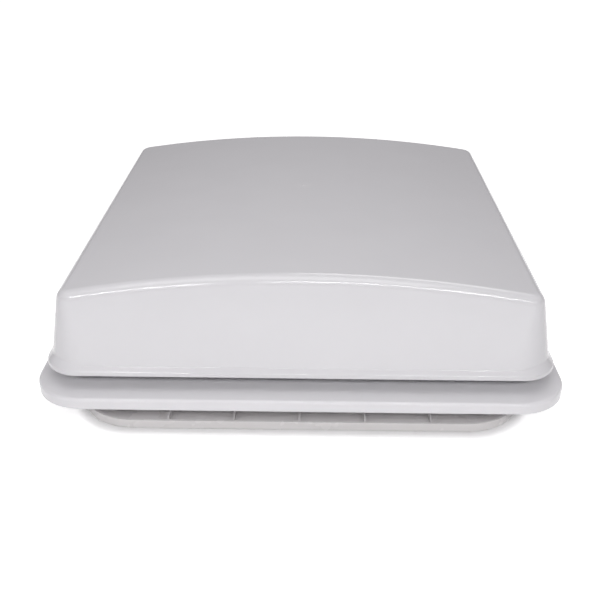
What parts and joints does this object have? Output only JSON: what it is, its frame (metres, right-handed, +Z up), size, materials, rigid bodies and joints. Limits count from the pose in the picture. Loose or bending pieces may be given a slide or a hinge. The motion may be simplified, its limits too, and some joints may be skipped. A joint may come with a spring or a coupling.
{
  "type": "caravan roof vent",
  "caption": "Square wind-up caravan roof vent: white domed lid hinged at the rear over a wide flanged frame, with a ceiling trim and fly screen below",
  "frame": {"origin": "centre of the square roof cut-out, on the roof's outer skin where the flange seats", "axes": "+Z up out of the roof, +Y towards the lid's hinge, +X to the right seen from the front"},
  "size_m": [0.5, 0.5, 0.1643],
  "materials": {
    "white_abs": "gloss",
    "trim_abs": "satin",
    "seal_rubber": "matte",
    "zinc_steel": "satin",
    "track_aluminium": "satin",
    "glass_nylon": "matte",
    "natural_nylon": "satin",
    "bush_bronze": "satin",
    "mesh_fibre": "matte",
    "grey_vinyl": "matte",
    "ferrite_magnet": "matte"
  },
  "bodies": {
    "outer_frame": {"roof_frame": "white_abs", "lid_seal": "seal_rubber", "hinge_bracket_left": "glass_nylon", "hinge_bracket_right": "glass_nylon", "hinge_pin_left": "zinc_steel", "hinge_pin_right": "zinc_steel", "bracket_screws": "zinc_steel", "shaft_bearing_left": "natural_nylon", "shaft_bearing_right": "natural_nylon", "bearing_screws": "zinc_steel", "gear_housing": "glass_nylon", "housing_screws": "zinc_steel", "worm_bush_lower": "bush_bronze", "worm_bush_upper": "bush_bronze", "ceiling_trim": "trim_abs", "clamp_screws": "zinc_steel", "screw_caps": "trim_abs", "operator_cover": "trim_abs", "cover_screws": "zinc_steel", "screen_magnets": "ferrite_magnet", "screen_pins": "zinc_steel"},
    "lid": {"dome": "white_abs", "lid_ring": "white_abs", "hinge_leaf_left": "glass_nylon", "hinge_leaf_right": "glass_nylon", "leaf_screws": "zinc_steel", "lift_track_left": "track_aluminium", "lift_track_right": "track_aluminium", "track_screws": "zinc_steel"},
    "lift_shaft": {"cross_shaft": "zinc_steel", "shaft_pins": "zinc_steel", "lift_arm_left": "zinc_steel", "lift_arm_right": "zinc_steel", "roller_pin_left": "zinc_steel", "roller_pin_right": "zinc_steel", "sector_gear": "zinc_steel"},
    "roller_left": {"lift_roller_left": "natural_nylon"},
    "roller_right": {"lift_roller_right": "natural_nylon"},
    "crank": {"worm_shaft": "zinc_steel", "crank_arm": "trim_abs", "crank_screw": "zinc_steel", "knob_pin": "zinc_steel"},
    "knob_fold": {"knob_spindle": "natural_nylon"},
    "knob_turn": {"crank_knob": "glass_nylon"},
    "fly_screen": {"screen_frame": "trim_abs", "fly_mesh": "mesh_fibre", "mesh_retainer": "grey_vinyl", "screen_keepers": "zinc_steel"}
  },
  "joints": [
    {"name": "lid_hinge", "type": "hinge", "parent": "outer_frame", "child": "lid", "pos_m": [0, 0.223, 0.032], "axis": [-1, 0, 0], "range_deg": [0, 50]},
    {"name": "arm_lift", "type": "hinge", "parent": "outer_frame", "child": "lift_shaft", "pos_m": [0, 0.12112, 0.0066], "axis": [-1, 0, 0], "range_deg": [0, 100]},
    {"name": "roller_left_spin", "type": "hinge", "parent": "lift_shaft", "child": "roller_left", "pos_m": [0, 0.01924, 0.032], "axis": [1, 0, 0], "continuous": true},
    {"name": "roller_right_spin", "type": "hinge", "parent": "lift_shaft", "child": "roller_right", "pos_m": [0, 0.01924, 0.032], "axis": [1, 0, 0], "continuous": true},
    {"name": "crank_turn", "type": "hinge", "parent": "outer_frame", "child": "crank", "pos_m": [0, 0.15312, 0], "axis": [0, 0, 1], "range_deg": [0, 3200]},
    {"name": "knob_fold_out", "type": "hinge", "parent": "crank", "child": "knob_fold", "pos_m": [0.026, 0.15312, -0.035], "axis": [0, -1, 0], "range_deg": [0, 90]},
    {"name": "knob_spin", "type": "hinge", "parent": "knob_fold", "child": "knob_turn", "pos_m": [0.026, 0.15312, -0.035], "axis": [1, 0, 0], "continuous": true},
    {"name": "screen_hinge", "type": "hinge", "parent": "outer_frame", "child": "fly_screen", "pos_m": [0, 0.09712, -0.038], "axis": [1, 0, 0], "range_deg": [0, 90]}
  ],
  "couplings": [
    {"joint": "arm_lift", "follows": "lid_hinge", "ratio": 2},
    {"joint": "crank_turn", "follows": "lid_hinge", "ratio": 64}
  ]
}
